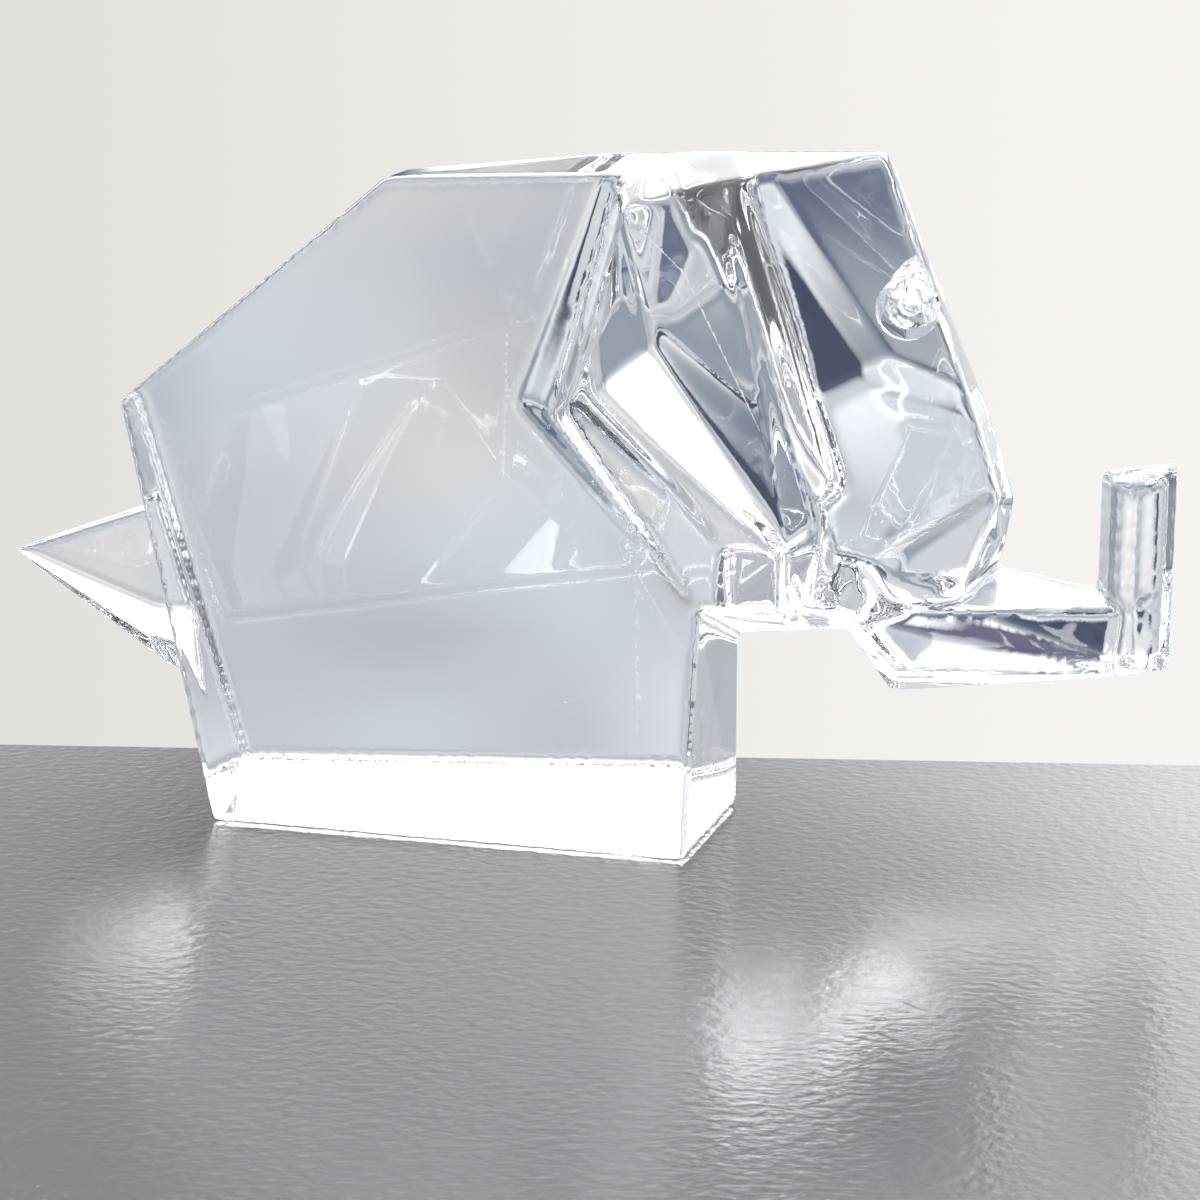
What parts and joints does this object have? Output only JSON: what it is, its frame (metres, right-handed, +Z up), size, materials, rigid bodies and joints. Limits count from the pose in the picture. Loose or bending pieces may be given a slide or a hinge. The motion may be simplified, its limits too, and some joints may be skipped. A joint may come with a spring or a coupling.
{
  "type": "crystal figurine",
  "caption": "Free-standing faceted crystal elephant figurine with a flat base, raised ears, dished eyes and an upturned trunk.",
  "frame": {"origin": "middle of the figure's length and width, on the flat base", "axes": "+X forwards towards the trunk tip, +Y to the animal's left, +Z up"},
  "size_m": [0.168, 0.0564, 0.0941],
  "materials": {
    "lead_crystal": "fire-polished, clear and colourless"
  },
  "bodies": {
    "root": {"torso": "lead_crystal", "neck": "lead_crystal", "ear_right": "lead_crystal", "ear_left": "lead_crystal", "head": "lead_crystal", "eye_right": "lead_crystal", "eye_left": "lead_crystal", "trunk_root": "lead_crystal", "trunk_reach": "lead_crystal", "trunk_tip": "lead_crystal", "tail": "lead_crystal"}
  },
  "joints": []
}
